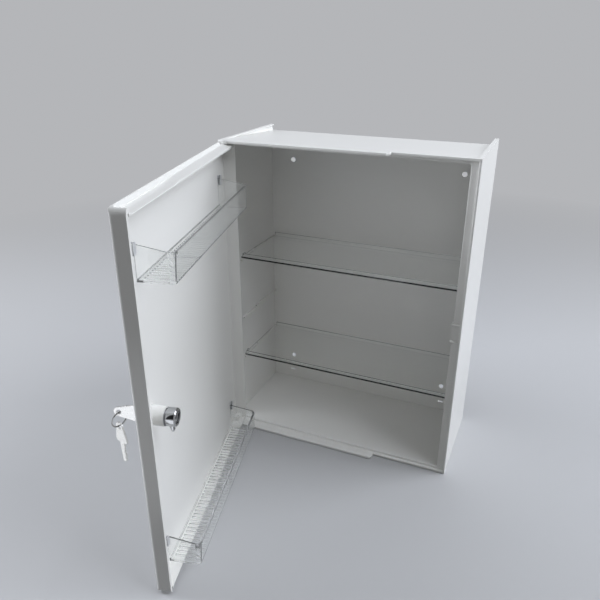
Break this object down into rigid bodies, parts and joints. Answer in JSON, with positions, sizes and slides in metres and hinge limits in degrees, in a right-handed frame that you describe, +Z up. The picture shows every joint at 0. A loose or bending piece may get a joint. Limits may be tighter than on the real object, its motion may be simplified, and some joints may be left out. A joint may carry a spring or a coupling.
{
  "type": "first aid cabinet",
  "caption": "Wall-mounted moulded plastic cabinet with a key-locked tray door on pins, clear shelves, and clear slotted racks clipped inside the door; keys hang on a ring.",
  "frame": {"origin": "centre of the four wall holes, on the back face that lies against the wall", "axes": "+Y into the wall, -Y to the front, +Z up, +X toward the latch side (the viewer's right)"},
  "size_m": [0.32, 0.4522, 0.422],
  "materials": {
    "white_plastic": "moulded, glossy white",
    "clear_plastic": "clear, polished",
    "grey_plastic": "fine matte grain",
    "lock_chrome": "polished plating",
    "key_nickel": "nickel plated, worn satin",
    "pin_steel": "turned steel",
    "spring_steel": "spring steel",
    "wafer_brass": "stamped brass"
  },
  "bodies": {
    "cabinet": {"cabinet_shell": "white_plastic", "upper_hinge_pin": "pin_steel", "lower_hinge_pin": "pin_steel"},
    "door": {"door_shell": "white_plastic", "upper_hinge_side_clip": "grey_plastic", "upper_latch_side_clip": "grey_plastic", "lower_hinge_side_clip": "grey_plastic", "lower_latch_side_clip": "grey_plastic", "lock_housing": "lock_chrome", "lock_clip": "spring_steel"},
    "lock_rotor": {"lock_plug": "lock_chrome", "lock_wafers": "wafer_brass", "wafer_springs": "spring_steel", "lock_cam": "lock_chrome", "cam_screw": "pin_steel"},
    "key": {"inserted_key": "key_nickel"},
    "ring": {"key_ring": "key_nickel"},
    "spare": {"spare_key": "key_nickel"},
    "upper_shelf_body": {"upper_shelf": "clear_plastic"},
    "lower_shelf_body": {"lower_shelf": "clear_plastic"},
    "upper_rack_body": {"upper_rack": "clear_plastic"},
    "lower_rack_body": {"lower_rack": "clear_plastic"}
  },
  "joints": [
    {"name": "door_hinge", "type": "hinge", "parent": "cabinet", "child": "door", "pos_m": [-0.1497, -0.1506, 0], "axis": [0, 0, 1], "range_deg": [-54, 76]},
    {"name": "lock_turn", "type": "hinge", "parent": "door", "child": "lock_rotor", "pos_m": [-0.08934, -0.42742, -0.0012], "axis": [-0.9703, -0.2419, 0], "range_deg": [0, 90]},
    {"name": "key_pull", "type": "slide", "parent": "lock_rotor", "child": "key", "axis": [-0.9703, -0.2419, 0], "range_m": [0, 0.03]},
    {"name": "ring_swing", "type": "hinge", "parent": "key", "child": "ring", "pos_m": [-0.11612, -0.4341, -0.0012], "axis": [0.2419, -0.9703, 0], "range_deg": [-36, 8]},
    {"name": "spare_key_swing", "type": "hinge", "parent": "ring", "child": "spare", "pos_m": [-0.11878, -0.43333, -0.02057], "axis": [-0.2756, -0.9613, 0], "range_deg": [-30, 8]},
    {"name": "upper_shelf_slide", "type": "slide", "parent": "cabinet", "child": "upper_shelf_body", "axis": [0, -1, 0], "range_m": [0, 0.02]},
    {"name": "lower_shelf_slide", "type": "slide", "parent": "cabinet", "child": "lower_shelf_body", "axis": [0, -1, 0], "range_m": [0, 0.02]},
    {"name": "upper_rack_lift", "type": "slide", "parent": "door", "child": "upper_rack_body", "axis": [0, 0, 1], "range_m": [0, 0.022]},
    {"name": "lower_rack_lift", "type": "slide", "parent": "door", "child": "lower_rack_body", "axis": [0, 0, 1], "range_m": [0, 0.022]}
  ]
}
